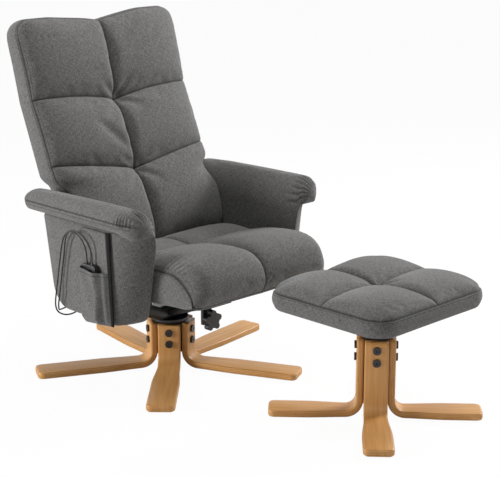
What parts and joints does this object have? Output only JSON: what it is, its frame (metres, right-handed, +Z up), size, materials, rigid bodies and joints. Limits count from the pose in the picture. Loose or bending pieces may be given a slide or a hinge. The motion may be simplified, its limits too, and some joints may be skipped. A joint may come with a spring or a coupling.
{
  "type": "massage recliner with footstool",
  "caption": "Swivel recliner in charcoal fabric on a bent plywood star base, with a wired massage handset and a matching footstool.",
  "frame": {"origin": "point on the floor under the swivel axis of the chair", "axes": "+X the way the seat faces, towards the footstool; +Y the sitter's left; +Z up"},
  "size_m": [1.2871, 0.7617, 0.99],
  "materials": {
    "ply_honey": "honey lacquered bent beech plywood, glossy",
    "ply_plain": "plain plywood",
    "fabric_grey": "heathered charcoal upholstery linen",
    "fabric_black": "black woven tape",
    "felt_black": "dark felt",
    "steel_black": "black powder coat, half gloss",
    "steel_bright": "zinc plated",
    "plastic_black": "moulded, fine grain",
    "plastic_dark": "moulded, satin",
    "plastic_pale": "moulded, satin",
    "rubber_black": "soft matt sheath"
  },
  "bodies": {
    "star_base": {"chair_leg_1": "ply_honey", "chair_leg_2": "ply_honey", "chair_leg_3": "ply_honey", "chair_leg_4": "ply_honey", "chair_leg_5": "ply_honey", "base_hub": "steel_black", "swivel_bush": "plastic_black", "base_bolts": "steel_black", "base_glides": "felt_black"},
    "chair_body": {"swivel_spindle": "steel_bright", "swivel_plate": "steel_black", "carrier_beam": "steel_black", "knob_bracket": "steel_black", "rail_saddles": "steel_black", "glide_rails": "steel_black", "arm_core_left": "ply_plain", "arm_core_right": "ply_plain", "arm_bolts": "steel_black", "arm_panel_left": "fabric_grey", "arm_panel_right": "fabric_grey", "arm_pad_left": "fabric_grey", "arm_pad_right": "fabric_grey", "pivot_pins": "steel_bright", "handset_pouch": "fabric_grey", "pouch_strip": "fabric_black", "handset_case": "plastic_black", "handset_cover": "plastic_dark", "lead_reliefs": "rubber_black", "handset_lead_long": "rubber_black", "handset_lead_short": "rubber_black", "junction_box": "plastic_black"},
    "back": {"back_cushion": "fabric_grey", "back_shell": "fabric_grey", "back_board": "ply_plain", "back_cross_tube": "steel_black", "back_hinge_plates": "steel_black", "back_motors": "plastic_black"},
    "seat": {"seat_cushion": "fabric_grey", "seat_side_rails": "ply_plain", "seat_cross_rails": "ply_plain", "seat_webbing": "fabric_black", "seat_runners": "steel_bright", "seat_forks": "steel_black", "seat_motors": "plastic_black"},
    "knob": {"star_knob": "plastic_black", "knob_stud": "steel_bright"},
    "footstool": {"stool_leg_1": "ply_honey", "stool_leg_2": "ply_honey", "stool_leg_3": "ply_honey", "stool_leg_4": "ply_honey", "stool_post": "steel_black", "stool_bolts": "steel_black", "stool_glides": "felt_black", "stool_board": "ply_plain", "stool_cushion": "fabric_grey"},
    "button_power": {"button_power": "plastic_pale"},
    "button_mode": {"button_mode": "plastic_pale"},
    "button_level": {"button_level": "plastic_pale"},
    "button_heat": {"button_heat": "plastic_pale"}
  },
  "joints": [
    {"name": "chair_swivel", "type": "hinge", "parent": "star_base", "child": "chair_body", "pos_m": [0, 0, 0.137], "axis": [0, 0, 1], "continuous": true},
    {"name": "back_recline", "type": "hinge", "parent": "chair_body", "child": "back", "pos_m": [-0.075, 0, 0.415], "axis": [0, -1, 0], "range_deg": [0, 25]},
    {"name": "seat_glide", "type": "slide", "parent": "chair_body", "child": "seat", "axis": [1, 0, 0], "range_m": [0, 0.036]},
    {"name": "knob_turn", "type": "hinge", "parent": "chair_body", "child": "knob", "pos_m": [0.172, 0, 0.171], "axis": [1, 0, 0], "range_deg": [0, 270]},
    {"name": "stool_pull", "type": "slide", "parent": "star_base", "child": "footstool", "axis": [1, 0, 0], "range_m": [0, 0.4]},
    {"name": "press_power", "type": "slide", "parent": "chair_body", "child": "button_power", "axis": [0, 1, 0], "range_m": [0, 0.0012], "stiffness_N_per_m": 300},
    {"name": "press_mode", "type": "slide", "parent": "chair_body", "child": "button_mode", "axis": [0, 1, 0], "range_m": [0, 0.0012], "stiffness_N_per_m": 300},
    {"name": "press_level", "type": "slide", "parent": "chair_body", "child": "button_level", "axis": [0, 1, 0], "range_m": [0, 0.0012], "stiffness_N_per_m": 300},
    {"name": "press_heat", "type": "slide", "parent": "chair_body", "child": "button_heat", "axis": [0, 1, 0], "range_m": [0, 0.0012], "stiffness_N_per_m": 300}
  ],
  "couplings": [
    {"joint": "seat_glide", "follows": "back_recline", "m_per_rad": 0.08}
  ]
}
